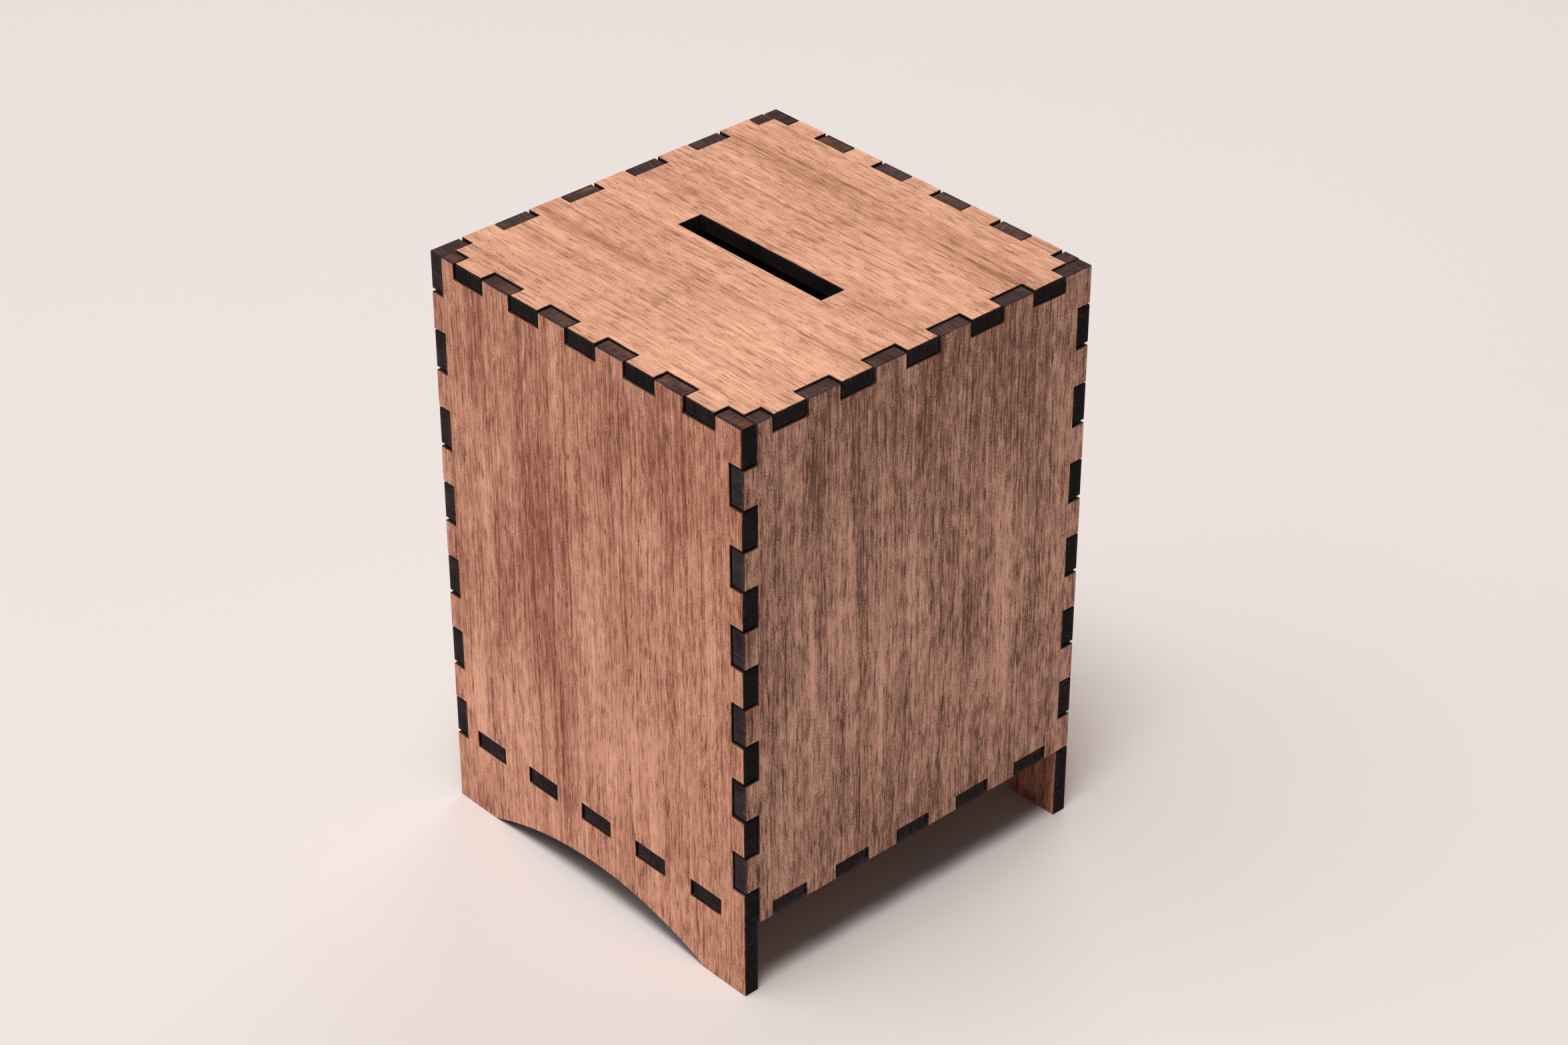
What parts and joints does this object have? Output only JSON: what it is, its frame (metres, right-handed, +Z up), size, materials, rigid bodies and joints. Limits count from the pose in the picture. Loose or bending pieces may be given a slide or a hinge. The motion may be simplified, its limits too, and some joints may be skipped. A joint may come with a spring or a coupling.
{
  "type": "money box",
  "caption": "Square plywood money box with finger-jointed panels, a coin slot in the top, arched feet and a swing hatch under the base.",
  "frame": {"origin": "centre of the footprint, on the surface that the feet stand on", "axes": "+Z up; the front panel, one of the two with arched feet, faces -Y; the coin slot runs along X"},
  "size_m": [0.08, 0.08, 0.116],
  "materials": {
    "stained_plywood": "brown stain, matt, edges charred dark by the laser",
    "zinc_steel": "bright zinc plate",
    "nylon": "natural nylon"
  },
  "bodies": {
    "box": {"top_panel": "stained_plywood", "base_panel": "stained_plywood", "front_panel": "stained_plywood", "right_panel": "stained_plywood", "back_panel": "stained_plywood", "left_panel": "stained_plywood", "pivot_bolt": "zinc_steel", "head_washer": "zinc_steel", "clamp_washer": "zinc_steel", "lock_nut": "zinc_steel", "spacer_washer": "nylon", "nut_insert": "nylon"},
    "hatch": {"swing_hatch": "stained_plywood"}
  },
  "joints": [
    {"name": "hatch_swing", "type": "hinge", "parent": "box", "child": "hatch", "pos_m": [0.026, -0.0287, 0.0125], "axis": [0, 0, -1], "range_deg": [0, 90]}
  ]
}
